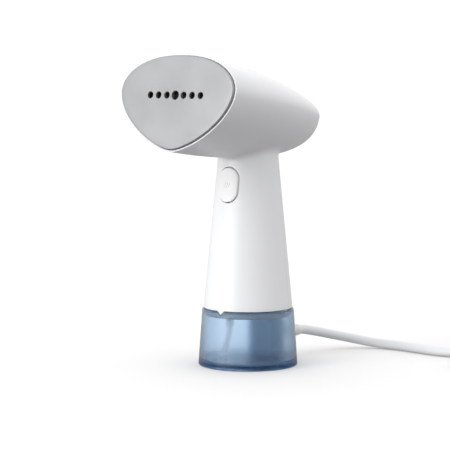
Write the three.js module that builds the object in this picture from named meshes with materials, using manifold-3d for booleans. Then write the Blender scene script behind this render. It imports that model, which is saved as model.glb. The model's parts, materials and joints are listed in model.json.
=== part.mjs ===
// Handheld garment steamer: a tapered handle with a steam head on top and a lift-off water tank
// that it stands on. Millimetres, +Z up. The origin is the centre of the tank's underside, the
// steam plate faces -Y and the mains lead leaves at the back, towards +Y.
import * as THREE from "three";
import { mergeVertices } from "three/addons/utils/BufferGeometryUtils.js";
import Module from "manifold-3d";

const wasm = await Module();
wasm.setup();

// ---- driving dimensions ----
const gap = 0.3; // between pieces that touch or run in each other

// head: a rounded-triangle section that tapers to a blunt nose at the back
const headTilt = THREE.MathUtils.degToRad(10.8); // the plate leans back by this
const plateCentre = new THREE.Vector3(0, -80.7, 191.8); // middle of the row of steam holes
const plateHalfWidth = 48.1;
const plateUpper = 24.4; // height above the widest line
const plateLower = 39.5; // depth below it
const plateLift = 2.9; // widest line above the row of holes
const plateProud = 2; // the plate stands this far out of the housing's rim
const plateSkin = 1.6;
const plateDepth = 7;
const headLength = 148.85;
const headHalfWidth = 49.5;
const headUpper = 25.8;
const headLower = 41;
const headDrop = 6.4; // the widest line climbs this much towards the nose
const headWall = 2;
const rimWall = 1;
const rimReach = 0.06; // share of the head's length over which its wall stays thin
const holePitch = 7.2;
const holeCount = 7;
const holeRadius = 2.3;
const middleHoleRadius = 3;

// handle: a plain cone, cut off at its hem
const hemZ = 41;
const hemRadius = 31.54;
const handleTaper = 0.0956; // radius lost per millimetre of height
const handleTopZ = 168; // inside the head
const handleWall = 2.2;
const coverTopZ = 140;
const coverFrontY = 7.6; // the parting plane of the rear cover
const pointerHalfWidth = 3;
const pointerDrop = 2.7;

// water tank
const tankHeight = 40.2;
const tankFootRadius = 35.2;
const tankRimRadius = 32.4;
const tankWall = 1.8;
const tankFloor = 3.2;
const lidTopZ = 37.6;
const lidThickness = 2;
const couplingY = -21;
const fillerY = -3;
const fillerRadius = 7.2;

// spine that carries the lead down the back of the tank
const spineHalfWidth = 9.2;
const spineFrontY = 15;
const spineFootZ = 5;
const spineWall = 1.8;
const pocketPlay = 0.6;
const pocketWall = 1.4;
const basePlateZ = 46.5;
const basePlateThickness = 2.5;

// mains lead
const leadRadius = 3.5;
const leadExitZ = 17.8;
const reliefEndY = 58;
const coilCentre = new THREE.Vector3(174, 98, 0);
const coilInner = 27.6;
const coilOuter = 49.4;
const coilBase = 1;
const coilHeight = 14.6;
const plugLength = 36;

// steam button and its switch
const buttonZ = 128.7;
const buttonHalfWidth = 7.75;
const buttonHalfHeight = 12;
const buttonProud = 1;
const buttonBackY = -17;
const carrierY = -12;
const stemZ = 123;
const springZ = 133;

// pump
const pumpX = 0;
const pumpY = -2;
const pumpFootZ = 62;
const pumpTopZ = 104;

// ---- materials ----
const finish = (color, roughness, metalness = 0) =>
  new THREE.MeshStandardMaterial({ color, roughness, metalness });
const white = finish(0xf4f5f6, 0.3);
const plateGrey = finish(0xc6c8ca, 0.4, 0.6);
const tankBlue = new THREE.MeshStandardMaterial({
  color: 0x8fb6dc,
  roughness: 0.2,
  transparent: true,
  opacity: 0.5,
});
const clearPlastic = finish(0xc9d6e0, 0.3);
const rubberGrey = finish(0x8d9196, 0.8);
const siliconeWhite = finish(0xe3e2dc, 0.7);
const castAluminium = finish(0xa9acae, 0.55, 0.8);
const steel = finish(0xb9bcbf, 0.35, 0.9);
const copper = finish(0xa9603a, 0.45, 0.8);
const black = finish(0x26282a, 0.5);
const boardGreen = finish(0x2c6b45, 0.5);
const leadWhite = finish(0xe6e7e8, 0.5);

// ---- solids ----
function toSolid(geometry) {
  const plain = geometry.clone();
  plain.deleteAttribute("normal");
  plain.deleteAttribute("uv");
  const merged = mergeVertices(plain, 1e-4);
  return new wasm.Manifold(
    new wasm.Mesh({
      numProp: 3,
      vertProperties: new Float32Array(merged.attributes.position.array),
      triVerts: new Uint32Array(merged.index.array),
    }),
  );
}

function toGeometry(solid) {
  const mesh = solid.getMesh();
  const geometry = new THREE.BufferGeometry();
  geometry.setAttribute("position", new THREE.BufferAttribute(mesh.vertProperties, 3));
  geometry.setIndex(new THREE.BufferAttribute(mesh.triVerts, 1));
  geometry.computeVertexNormals();
  return geometry;
}

// combine("add", a, b, ...), combine("subtract", a, b, ...) or combine("intersect", a, b, ...)
function combine(how, first, ...others) {
  let result = toSolid(first);
  for (const other of others) result = result[how](toSolid(other));
  return toGeometry(result);
}
const join = (...pieces) => combine("add", ...pieces);
const cut = (...pieces) => combine("subtract", ...pieces);
const common = (...pieces) => combine("intersect", ...pieces);

function box(x0, x1, y0, y1, z0, z1) {
  const geometry = new THREE.BoxGeometry(x1 - x0, y1 - y0, z1 - z0);
  return geometry.translate((x0 + x1) / 2, (y0 + y1) / 2, (z0 + z1) / 2);
}

// A cylinder, or a cone if it has a second radius, between two heights.
function rod(radius, z0, z1, x = 0, y = 0, sides = 24, topRadius = radius) {
  const geometry = new THREE.CylinderGeometry(topRadius, radius, z1 - z0, sides);
  return geometry.rotateX(Math.PI / 2).translate(x, y, (z0 + z1) / 2);
}

// The same, lying along Y.
function rodY(radius, y0, y1, x, z, sides = 24, farRadius = radius) {
  const geometry = new THREE.CylinderGeometry(farRadius, radius, y1 - y0, sides);
  return geometry.translate(x, (y0 + y1) / 2, z);
}

function ring(inner, outer, z0, z1, x = 0, y = 0, sides = 32) {
  return turned([[inner, z0], [outer, z0], [outer, z1], [inner, z1], [inner, z0]], sides)
    .translate(x, y, 0);
}

// A profile of [radius, height] points, listed anticlockwise, turned round the Z axis.
function turned(profile, sides = 48) {
  const points = profile.map(([radius, z]) => new THREE.Vector2(radius, z));
  return new THREE.LatheGeometry(points, sides).rotateX(Math.PI / 2);
}

// A round bar along a smooth line through points.
function bar(radius, points, sides = 8, steps = 24) {
  const section = new THREE.Shape().absarc(0, 0, radius, 0, 2 * Math.PI);
  const line = new THREE.CatmullRomCurve3(points.map((p) => new THREE.Vector3(...p)));
  return new THREE.ExtrudeGeometry(section, {
    extrudePath: line,
    steps,
    curveSegments: sides / 2, // three.js gives a full circle two points for each
    bevelEnabled: false,
  });
}

function slab(shape, depth, z0 = 0, curveSegments = 12) {
  const geometry = new THREE.ExtrudeGeometry(shape, { depth, curveSegments, bevelEnabled: false });
  return geometry.translate(0, 0, z0);
}

// An upright stadium in the XZ plane, drawn round the button's centre and run along Y.
function stadiumY(halfWidth, halfHeight, y0, y1) {
  const straight = halfHeight - halfWidth;
  const shape = new THREE.Shape();
  shape.absarc(0, straight, halfWidth, 0, Math.PI);
  shape.absarc(0, -straight, halfWidth, Math.PI, 2 * Math.PI);
  shape.closePath();
  return slab(shape, y1 - y0, 0, 10).rotateX(Math.PI / 2).translate(0, y1, buttonZ);
}

// ---- head surface ----
// The outline of a section: a superellipse with a flatter upper half and a deeper lower half.
function outlinePoint(angle, width, upper, lower, lift, tail = 0) {
  const power = (value, exponent) => Math.sign(value) * Math.abs(value) ** exponent;
  const above = Math.sin(angle) >= 0;
  const across = above ? 2.233 : 1.436 + 0.564 * tail;
  const down = above ? 1.985 : 1.782 + 0.218 * tail;
  const height = above ? upper : lower;
  return new THREE.Vector2(
    width * power(Math.cos(angle), 2 / across),
    lift + height * power(Math.sin(angle), 2 / down),
  );
}

// The plate's outline, moved inwards by inset.
function plateOutline(inset, count = 48) {
  const points = [];
  for (let i = 0; i < count; i++)
    points.push(
      outlinePoint(
        (2 * Math.PI * i) / count,
        plateHalfWidth - inset,
        plateUpper - inset,
        plateLower - inset,
        plateLift,
      ),
    );
  return new THREE.Shape(points);
}

// The head's skin from its rim to its nose, or the same moved inwards for its inside.
// Local axes: X across, Y up the plate, Z out of the plate.
function headLoft(wall, reach, rings, count = 48) {
  const place = [];
  for (let k = 0; k <= rings; k++) {
    const along = Math.max(0, (k - 1) / (rings - 1));
    const q = k ? rimReach + (reach - rimReach) * (1 - (1 - along) ** 2) : 0;
    const thin = wall * THREE.MathUtils.clamp(rimWall / headWall + (q - rimReach) * 6, 0.5, 1);
    const depth = plateProud + q * headLength - (wall && !k ? 1 : 0);
    const width = headHalfWidth * Math.max(0, 1 - q ** 1.866) ** 0.441 - thin;
    const upper = headUpper * Math.max(0, 1 - q ** 1.82) ** 0.539 - thin;
    const lower = headLower * Math.max(0, 1 - q ** 2.033) ** 0.357 - thin;
    for (let i = 0; i < count; i++) {
      const angle = (2 * Math.PI * i) / count;
      const at = outlinePoint(angle, width, upper, lower, plateLift + headDrop * q, q * q);
      place.push(at.x, at.y, -depth);
    }
  }
  const front = place.length / 3;
  place.push(0, plateLift, place[2]);
  place.push(0, plateLift + headDrop * reach, -(plateProud + reach * headLength));
  const faces = [];
  for (let i = 0; i < count; i++) {
    const next = (i + 1) % count;
    faces.push(front, i, next);
    faces.push(front + 1, rings * count + next, rings * count + i);
    for (let k = 0; k < rings; k++) {
      const a = k * count + i;
      const b = k * count + next;
      faces.push(a, a + count, b, b, a + count, b + count);
    }
  }
  const geometry = new THREE.BufferGeometry();
  geometry.setAttribute("position", new THREE.Float32BufferAttribute(place, 3));
  geometry.setIndex(faces);
  return geometry;
}

// Puts a geometry drawn in the head's local axes in its place.
const headMatrix = new THREE.Matrix4()
  .makeRotationX(Math.PI / 2 - headTilt)
  .setPosition(plateCentre);
const inHead = (geometry) => geometry.applyMatrix4(headMatrix);
function headPoint(x, up, depth) {
  return new THREE.Vector3(x, up, -depth).applyMatrix4(headMatrix).toArray();
}

// ---- scene graph ----
const steamer = new THREE.Group();
const tankGroup = new THREE.Group();
const handleGroup = new THREE.Group();
const headGroup = new THREE.Group(); // pieces drawn in the head's local axes
headGroup.position.copy(plateCentre);
headGroup.rotation.x = Math.PI / 2 - headTilt;
handleGroup.add(headGroup);
steamer.add(tankGroup, handleGroup);

function add(group, name, geometry, material) {
  const mesh = new THREE.Mesh(geometry, material);
  mesh.name = name;
  group.add(mesh);
}

// Copies of one piece are numbered from 1.
function addEach(group, name, geometries, material) {
  geometries.forEach((geometry, i) => add(group, `${name}_${i + 1}`, geometry, material));
}

// ---- housing ----
const handleRadius = (z) => hemRadius - handleTaper * (z - hemZ);
const tankRadius = (z) =>
  tankFootRadius - ((tankFootRadius - tankRimRadius) * (z - 1)) / (tankHeight - 1);

// The handle's cone between two heights, grown by extra.
function handleCone(z0, z1, extra = 0, sides = 48) {
  return rod(handleRadius(z0) + extra, z0, z1, 0, 0, sides, handleRadius(z1) + extra);
}

// The pointer's prism, run along Y through the front of the hem, with play on each side.
function pointerPrism(play) {
  const outline = new THREE.Shape([
    new THREE.Vector2(-pointerHalfWidth - play, 0.2 + play),
    new THREE.Vector2(0, -pointerDrop - play),
    new THREE.Vector2(pointerHalfWidth + play, 0.2 + play),
  ]);
  return slab(outline, 8).rotateX(Math.PI / 2).translate(0, -26, hemZ);
}

function makeHousing() {
  const inner = handleCone(hemZ - 8, handleTopZ - 8, -handleWall);
  const pointer = cut(
    common(pointerPrism(0), handleCone(hemZ - 4, hemZ + 1)),
    handleCone(hemZ - 8, hemZ + 2, -handleWall),
  );
  const skin = join(inHead(headLoft(0, 1, 15)), handleCone(hemZ, handleTopZ));
  const shell = cut(skin, inHead(headLoft(headWall, 0.95, 9)), inner);
  const coverZone = (play) =>
    box(-60, 60, coverFrontY - play, 60, hemZ - 10, coverTopZ + play);
  const buttonHole = stadiumY(buttonHalfWidth + 0.35, buttonHalfHeight + 0.35, -40, -12);
  const front = cut(shell, coverZone(gap), buttonHole);
  add(handleGroup, "main_housing", join(front, pointer), white);
  add(handleGroup, "rear_cover", common(shell, coverZone(0)), white);
}
makeHousing();

// ---- handle base with its spine ----
function makeBase() {
  const plateTop = basePlateZ + basePlateThickness;
  const plateRadius = handleRadius(plateTop) - handleWall - 2 * gap;
  const spineShell = (inset) =>
    common(
      box(
        -spineHalfWidth + inset,
        spineHalfWidth - inset,
        spineFrontY + inset,
        60,
        spineFootZ + inset,
        plateTop + inset,
      ),
      rod(tankRadius(0) - inset, 0, 60, 0, 0, 48, tankRadius(60) - inset),
    );
  // Above the hem the spine steps in behind the rear cover.
  const behindCover = cut(
    box(-30, 30, 0, 60, hemZ - gap, 70),
    handleCone(20, 80, -handleWall - 2 * gap),
  );
  const body = cut(
    join(rod(plateRadius, basePlateZ, plateTop, 0, 0, 48), spineShell(0)),
    behindCover,
    spineShell(spineWall),
    box(-6, 6, spineFrontY + 3, 25, plateTop - 4, plateTop + 2),
    rodY(4.3, 24, 60, 0, leadExitZ),
    rod(4.4, 40, 60, 0, couplingY),
  );
  const boss = ring(4.4, 7, basePlateZ - 4, plateTop + 1, 0, couplingY);
  add(handleGroup, "handle_base", join(body, boss), white);
  const spots = [-150, -30, 60].map((degrees) => THREE.MathUtils.degToRad(degrees));
  const screws = spots.map((angle) => {
    const x = 21.5 * Math.cos(angle);
    const y = 21.5 * Math.sin(angle) * 0.6;
    return join(
      rod(2.8, basePlateZ - gap - 1.6, basePlateZ - gap, x, y, 12),
      rod(1.4, basePlateZ - gap - 1, basePlateZ - gap - 0.2, x, y, 12),
    );
  });
  addEach(handleGroup, "base_screw", screws, steel);
  const nipple = cut(
    join(
      rod(1.8, 32.5, 52, 0, couplingY, 16),
      rod(4.1, basePlateZ + 0.2, 51, 0, couplingY, 20),
      rod(2.6, 51, 56, 0, couplingY, 16, 2.2),
    ),
    rod(0.9, 30, 58, 0, couplingY, 12),
  );
  add(handleGroup, "tank_coupling", nipple, clearPlastic);
  const sealTop = basePlateZ - 4 - gap;
  add(
    handleGroup,
    "coupling_seal",
    ring(2.1, 6, lidTopZ + gap, sealTop, 0, couplingY, 24),
    siliconeWhite,
  );
}
makeBase();

// ---- water tank ----
function makeTank() {
  const floorEdge = tankRadius(tankFloor) - tankWall;
  const outer = turned([
    [0, 0],
    [tankFootRadius - 0.8, 0],
    [tankFootRadius - 0.2, 0.3],
    [tankFootRadius, 1],
    [tankRimRadius, tankHeight],
    [0, tankHeight],
  ]);
  const hollow = turned([
    [0, tankFloor],
    [floorEdge - 2, tankFloor],
    [floorEdge - 0.4, tankFloor + 1.2],
    [tankRimRadius - tankWall, tankHeight + 1],
    [0, tankHeight + 1],
  ]);
  const pocket = (grow) =>
    box(
      -spineHalfWidth - pocketPlay - grow,
      spineHalfWidth + pocketPlay + grow,
      spineFrontY - pocketPlay - grow,
      60,
      spineFootZ - pocketPlay - grow,
      tankHeight + 3,
    );
  const vessel = cut(
    outer,
    cut(hollow, pocket(pocketWall)),
    pocket(0),
    pointerPrism(0.8),
  );
  add(tankGroup, "water_tank", vessel, tankBlue);

  const lidFoot = lidTopZ - lidThickness;
  const lidRadius = tankRimRadius - tankWall - gap;
  const disc = cut(rod(lidRadius, lidFoot, lidTopZ, 0, 0, 48), pocket(pocketWall + gap));
  const socket = rod(3, lidFoot - 6, lidFoot + 0.5, 0, couplingY, 20);
  const lid = cut(
    join(disc, socket),
    rod(2.1, lidFoot - 4, lidTopZ + 1, 0, couplingY, 20),
    rod(1.2, lidFoot - 8, lidTopZ, 0, couplingY, 12),
    rod(fillerRadius, lidFoot - 1, lidTopZ + 1, 0, fillerY, 32),
  );
  add(tankGroup, "tank_lid", lid, tankBlue);

  const stopper = join(
    turned([
      [0, lidFoot - gap],
      [fillerRadius - gap - 0.5, lidFoot - gap],
      [fillerRadius - gap, lidFoot + 0.5],
      [fillerRadius - gap, lidTopZ + gap],
      [fillerRadius + 2, lidTopZ + gap],
      [fillerRadius + 2, lidTopZ + 1.6],
      [0, lidTopZ + 1.6],
    ], 32).translate(0, fillerY, 0),
    box(-3, 3, fillerY - 1, fillerY + 1, lidTopZ + 1, lidTopZ + 3),
  );
  add(tankGroup, "fill_stopper", stopper, rubberGrey);

  const tubeTop = lidFoot - 6 - gap;
  const tubeLine = [
    [0, couplingY, tubeTop],
    [0, couplingY - 0.5, tubeTop - 5],
    [0, couplingY - 4.2, tubeTop - 14],
    [0, couplingY - 6.2, tankFloor + 6],
  ];
  add(tankGroup, "dip_tube", cut(bar(2, tubeLine, 10, 8), bar(1.1, [
    [0, couplingY + 0.05, tubeTop + 0.6],
    ...tubeLine.slice(1, -1),
    [0, couplingY - 6.25, tankFloor + 5.4],
  ], 6, 8)), clearPlastic);
  const filterZ = tankFloor + 0.4;
  add(
    tankGroup,
    "intake_filter",
    cut(
      rod(3, filterZ, tankFloor + 5, 0, couplingY - 6.6, 16, 2.6),
      rod(1.2, filterZ + 1.5, 20, 0, couplingY - 6.4, 10),
    ),
    rubberGrey,
  );
}
makeTank();

// ---- steam plate and what it covers ----
function makePlate() {
  const holes = [];
  const middle = (holeCount - 1) / 2;
  for (let i = 0; i < holeCount; i++) {
    const radius = i === middle ? middleHoleRadius : holeRadius;
    holes.push(rod(radius, -4, 2, (i - middle) * holePitch, 0, 20));
  }
  const plate = cut(
    slab(plateOutline(0), plateDepth, -plateDepth),
    slab(plateOutline(plateSkin), plateDepth, -plateDepth - plateSkin),
    ...holes,
  );
  add(headGroup, "steam_plate", plate, plateGrey);

  const spread = [];
  for (let i = -3; i <= 3; i++) spread.push(rod(1.2, -8, 0, i * 10, -9, 8));
  add(
    headGroup,
    "steam_diffuser",
    cut(slab(plateOutline(plateSkin + 1, 40), 1.2, -5), ...spread),
    steel,
  );
  add(
    headGroup,
    "plate_gasket",
    cut(
      slab(plateOutline(1.2, 48), 2, -plateDepth - gap - 2),
      slab(plateOutline(5, 40), 4, -plateDepth - gap - 3),
    ),
    siliconeWhite,
  );
}
makePlate();

// ---- boiler ----
const boilerFront = 9.6; // depths behind the plate's face
const boilerBack = 26;
const coverBack = 37;
const elementDepth = 31;
const elementX = 22;
const inletUp = -6;

function makeBoiler() {
  const chamber = cut(
    slab(plateOutline(5), boilerBack - boilerFront, -boilerBack),
    slab(plateOutline(9, 40), 8, -boilerFront - 7),
    rod(1.6, -boilerBack - 1, -boilerFront, 0, inletUp, 12),
  );
  add(headGroup, "boiler_body", chamber, castAluminium);
  add(
    headGroup,
    "heat_shield_ring",
    cut(slab(plateOutline(2.9, 48), 8, -22), slab(plateOutline(4.4, 48), 10, -23)),
    black,
  );

  const ends = [-elementX, elementX];
  const screwSpots = [[-33, 5], [33, 5], [-12, -20], [12, -20]];
  const cover = cut(
    slab(plateOutline(6.5, 40), coverBack - boilerBack - gap, -coverBack),
    slab(plateOutline(8.5, 40), coverBack - boilerBack - 2, -coverBack + 2),
    ...ends.map((x) => rod(4.4, -coverBack - 2, -coverBack + 4, x, 8, 16)),
    ...screwSpots.map(([x, y]) => rod(1.9, -coverBack - 2, -coverBack + 4, x, y, 12)),
  );
  const inlet = cut(
    rod(3, -coverBack - 7, -boilerBack - gap, 0, inletUp, 16),
    rod(1.6, -coverBack - 8, -boilerBack + 1, 0, inletUp, 12),
  );
  add(headGroup, "boiler_cover", cut(join(cover, inlet),
    rod(1.6, -coverBack - 8, -boilerBack + 1, 0, inletUp, 12)), castAluminium);

  const bend = -elementDepth;
  const element = bar(3.2, [
    [-elementX, 8, -coverBack - 6],
    [-elementX, 8, -coverBack - 2],
    [-elementX, 6, bend - 1],
    [-elementX + 1, 0, bend],
    [-16, -9, bend],
    [-6, -15.5, bend],
    [6, -15.5, bend],
    [16, -9, bend],
    [elementX - 1, 0, bend],
    [elementX, 6, bend - 1],
    [elementX, 8, -coverBack - 2],
    [elementX, 8, -coverBack - 6],
  ], 8, 30);
  const pins = ends.map((x) => rod(1.4, -coverBack - 15, -coverBack - 5.5, x, 8, 8));
  add(headGroup, "heating_element", join(element, ...pins), steel);
  const screws = screwSpots.map(([x, y]) =>
    join(
      rod(3, -coverBack - gap - 2, -coverBack - gap, x, y, 12),
      rod(1.5, -coverBack - gap - 1, -boilerBack - gap, x, y, 10),
    ),
  );
  addEach(headGroup, "boiler_screw", screws, steel);

  const statBase = -coverBack - gap;
  const thermostat = join(
    rod(8, statBase - 5, statBase, 0, 10, 24),
    rod(5.5, statBase - 9, statBase - 4, 0, 10, 20),
    box(-4.6, -3.2, 7, 13, statBase - 15, statBase - 8),
    box(3.2, 4.6, 7, 13, statBase - 15, statBase - 8),
  );
  add(headGroup, "thermostat", thermostat, black);
  const fuse = rodY(2, -7, 7, 0, 0, 12).rotateZ(Math.PI / 2).translate(0, -20, statBase - 2.2);
  add(headGroup, "thermal_fuse", fuse, siliconeWhite);
}
makeBoiler();

// ---- pump ----
function makePump() {
  const barrel = cut(
    join(
      rod(4.6, pumpFootZ + 4, pumpTopZ - 4, pumpX, pumpY, 20),
      rod(2.6, pumpFootZ, pumpTopZ, pumpX, pumpY, 16),
    ),
    rod(3.2, pumpFootZ + 8, pumpTopZ - 8, pumpX, pumpY, 16),
    rod(1.3, pumpFootZ - 1, pumpTopZ + 1, pumpX, pumpY, 10),
  );
  add(handleGroup, "pump_barrel", barrel, clearPlastic);
  const coilFoot = pumpFootZ + 12;
  const coilTop = pumpTopZ - 12;
  add(handleGroup, "pump_coil", ring(4.9, 10.5, coilFoot, coilTop, pumpX, pumpY, 28), copper);
  const frame = cut(
    box(pumpX - 12.5, pumpX + 12.5, pumpY - 9, pumpY + 9, coilFoot - 1.8, coilTop + 1.8),
    box(pumpX - 11, pumpX + 11, pumpY - 12, pumpY + 12, coilFoot - gap, coilTop + gap),
    rod(4.9, 50, 130, pumpX, pumpY, 20),
  );
  add(handleGroup, "pump_frame", frame, steel);
  const mounts = [pumpFootZ + 6, pumpTopZ - 9].map((z) =>
    ring(4.9, 8, z, z + 3, pumpX, pumpY, 20),
  );
  addEach(handleGroup, "pump_grommet", mounts, rubberGrey);
  add(
    handleGroup,
    "pump_plunger",
    cut(rod(2.8, 76, 91.5, pumpX, pumpY, 16), rod(1, 74, 93, pumpX, pumpY, 8)),
    steel,
  );
  const coils = [];
  const turns = 4;
  const stepsPerTurn = 8;
  for (let i = 0; i <= turns * stepsPerTurn; i++) {
    const angle = (2 * Math.PI * i) / stepsPerTurn;
    const climb = i / (turns * stepsPerTurn);
    coils.push([pumpX + 2.3 * Math.cos(angle), pumpY + 2.3 * Math.sin(angle), 71 + 4.2 * climb]);
  }
  add(handleGroup, "pump_spring", bar(0.35, coils, 6, coils.length), steel);
}
makePump();

// ---- hoses ----
function makeHoses() {
  const inletLine = [
    [0, couplingY, 56.4],
    [0, couplingY, 59],
    [1.5, -17, 62.3],
    [4, -9.5, 59.5],
    [2.2, pumpY - 1.4, 56],
    [0, pumpY, 58.8],
    [0, pumpY, 61.6],
  ];
  add(handleGroup, "inlet_hose", bar(2.1, inletLine, 8, 18), siliconeWhite);
  const outletLine = [
    [pumpX, pumpY, pumpTopZ + gap],
    [pumpX, pumpY, pumpTopZ + 4],
    [1, 3, 114],
    [2, 6.5, 126],
    [1, 3, 142],
    [0, -9, 156],
    headPoint(0, inletUp - 5, coverBack + 18),
    headPoint(0, inletUp, coverBack + 11),
    headPoint(0, inletUp, coverBack + 7 + gap),
  ];
  add(handleGroup, "outlet_hose", bar(2.4, outletLine, 8, 24), siliconeWhite);
}
makeHoses();

// ---- steam button and switch ----
function makeButton() {
  const cap = common(
    stadiumY(buttonHalfWidth, buttonHalfHeight, -40, buttonBackY - 0.9),
    handleCone(100, 150, buttonProud, 72),
  );
  const flange = stadiumY(buttonHalfWidth + 1.2, buttonHalfHeight + 1.2, buttonBackY - 1, buttonBackY);
  const stem = rodY(2, buttonBackY - 0.5, carrierY - 2.6, 0, stemZ, 16);
  const guide = rodY(1.4, buttonBackY - 0.5, carrierY - 2.4, 0, springZ, 12);
  add(handleGroup, "steam_button", join(cap, flange, stem, guide), white);

  const carrier = cut(
    box(-11, 11, carrierY, carrierY + 2, 114, 142),
    rodY(1.6, -20, 0, 0, stemZ, 12),
    box(-2, 2, -20, 0, 127, 130),
  );
  add(handleGroup, "switch_carrier", carrier, black);
  const switchFront = carrierY + 2 + gap;
  add(
    handleGroup,
    "microswitch",
    cut(
      join(
        box(-5, 5, switchFront, switchFront + 6.4, 116, 129),
        box(-0.4, 0.4, switchFront + 6, switchFront + 9.5, 117.5, 120),
        box(-0.4, 0.4, switchFront + 6, switchFront + 9.5, 125, 127.5),
      ),
      rodY(1.6, -20, switchFront + 4.5, 0, stemZ, 12),
    ),
    black,
  );
  add(
    handleGroup,
    "switch_plunger",
    rodY(1.2, carrierY - 2.3, switchFront + 2, 0, stemZ, 12),
    siliconeWhite,
  );
  const coils = [];
  const turns = 3;
  const stepsPerTurn = 10;
  const span = carrierY - buttonBackY - 2 * (gap + 0.45);
  for (let i = 0; i <= turns * stepsPerTurn; i++) {
    const angle = (2 * Math.PI * i) / stepsPerTurn;
    const along = i / (turns * stepsPerTurn);
    coils.push([
      2.6 * Math.cos(angle),
      buttonBackY + gap + 0.45 + span * along,
      springZ + 2.6 * Math.sin(angle),
    ]);
  }
  add(handleGroup, "button_spring", bar(0.4, coils, 6, coils.length), steel);
}
makeButton();

// ---- electrics ----
const boardY = 13;
function makeElectrics() {
  const board = join(
    box(-13, 13, boardY, boardY + 1.6, 64, 116),
    box(-10, 2, boardY - 4, boardY + 0.5, 104, 114),
    box(5, 11, boardY - 4, boardY + 0.5, 96, 108),
    rodY(3.5, boardY - 4, boardY + 0.5, -8.5, 98, 12),
    box(-12.5, -8, boardY - 1.5, boardY + 0.5, 68, 82),
  );
  add(handleGroup, "control_board", board, boardGreen);
  add(
    handleGroup,
    "terminal_block",
    box(-8, 8, boardY + 1.9, boardY + 9, 82, 92),
    siliconeWhite,
  );
  const clampZ = 52;
  const innerLine = [
    [0, 27.2, leadExitZ],
    [0, 24.2, leadExitZ + 0.8],
    [0, 22, leadExitZ + 5],
    [0, 21.5, 32],
    [0, 21, 44],
    [0, 20.5, 58],
    [0, 20.3, 72],
    [0, 20, 81.6],
  ];
  add(handleGroup, "inner_lead", bar(2.8, innerLine, 8, 16), leadWhite);
  const clamp = cut(
    box(-12, 12, 16.8, 20.6, clampZ - 2.7, clampZ + 3),
    rod(3.5, 40, 70, 0, 20.8, 16),
  );
  add(handleGroup, "cord_clamp", clamp, siliconeWhite);
  const screws = [-9, 9].map((x) =>
    join(
      rodY(2.4, 14.9, 16.5, x, clampZ, 12),
      rodY(1.2, 13.4, 15.5, x, clampZ, 10),
    ),
  );
  addEach(handleGroup, "clamp_screw", screws, steel);
  const run = (side) => [
    [side * 5, boardY + 5, 92.5],
    [side * 5, boardY + 5, 96],
    [side * 9, boardY + 4, 120],
    [side * 11, 4, 140],
    [side * 15, -12, 158],
    headPoint(side * elementX, 8, coverBack + 24),
    headPoint(side * elementX, 8, coverBack + 15 + gap),
  ];
  addEach(handleGroup, "heater_lead", [bar(1.1, run(-1), 6, 18), bar(1.1, run(1), 6, 18)], black);
}
makeElectrics();

// ---- mains lead ----
const leadStart = [0, reliefEndY + gap, leadExitZ];
const leadRoute = [
  leadStart,
  [0.02, 62, 17.75],
  [0.15, 68, 17.1],
  [1.5, 76, 15.4],
  [4.6, 86.5, 12.9],
  [10, 97, 10.1],
  [17.5, 106.5, 7.4],
  [27, 113.5, 5],
  [39, 117.5, 3.7],
  [54, 117.8, 3.5],
  [72, 115, 3.5],
  [90, 113, 3.5],
  [108, 117, 3.6],
  [126, 128, 3.9],
  [141.6, 140.4, 4.3],
];
// The tail comes down from the coil's outer edge to the plug in front of it.
const plugX = 213;
const plugRear = 44; // where the tail enters the plug, along Y
const plugZ = 7.2;
const tailRoute = [
  [plugX + 4, 66, 9],
  [plugX + 2.5, 60, 8.2],
  [plugX + 0.8, 54, 7.5],
  [plugX, 49, plugZ],
  [plugX, plugRear + gap, plugZ],
];

function makeLead() {
  const relief = join(
    rodY(5.6, 28.3, 30.3, 0, leadExitZ, 20),
    rodY(4, 30, 35.5, 0, leadExitZ, 20),
    rodY(5.4, 35.3, reliefEndY, 0, leadExitZ, 20, 4.3),
  );
  add(handleGroup, "strain_relief", relief, leadWhite);
  add(handleGroup, "cord_lead", bar(leadRadius, leadRoute, 10, 16), leadWhite);
  const coil = ring(coilInner, coilOuter, coilBase, coilBase + coilHeight, 0, 0, 40);
  add(handleGroup, "cord_coil", coil.translate(coilCentre.x, coilCentre.y, 0), leadWhite);
  add(handleGroup, "cord_tail", bar(leadRadius, tailRoute, 10, 6), leadWhite);

  // A strap round the coil's section, on the side away from the object.
  const tieX = coilCentre.x + (coilInner + coilOuter) / 2;
  const tieHalf = (coilOuter - coilInner) / 2 + 1.2;
  const tieTop = coilBase + coilHeight + gap;
  const strap = cut(
    box(tieX - tieHalf - 0.6, tieX + tieHalf + 0.6, coilCentre.y - 6, coilCentre.y + 6, 0, tieTop + 0.6),
    box(tieX - tieHalf, tieX + tieHalf, coilCentre.y - 8, coilCentre.y + 8, 0.6, tieTop),
  );
  add(handleGroup, "cord_tie", strap, black);

  // Two round pins stand out of a flat, waisted body.
  const body = new THREE.Shape();
  body.moveTo(0, -4.6);
  body.lineTo(0, 4.6);
  body.quadraticCurveTo(-12, 6, -16, 13);
  body.absarc(3 - plugLength, 10.5, 3, Math.PI / 2, Math.PI);
  body.absarc(3 - plugLength, -10.5, 3, Math.PI, 1.5 * Math.PI);
  body.lineTo(-16, -13);
  body.quadraticCurveTo(-12, -6, 0, -4.6);
  const plug = slab(body, 2 * plugZ, 0, 6).rotateZ(Math.PI / 2).translate(plugX, plugRear, 0);
  add(handleGroup, "plug_body", plug, leadWhite);
  const pinRoot = plugRear - plugLength - gap;
  const pins = [-9.3, 9.3].map((x) => rodY(2, pinRoot - 19, pinRoot, plugX + x, plugZ, 12));
  addEach(handleGroup, "plug_pin", pins, steel);
}
makeLead();

export default steamer;
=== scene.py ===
import json
import math

import bmesh
import bpy
from mathutils import Matrix, Vector
from mathutils.bvhtree import BVHTree


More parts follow.
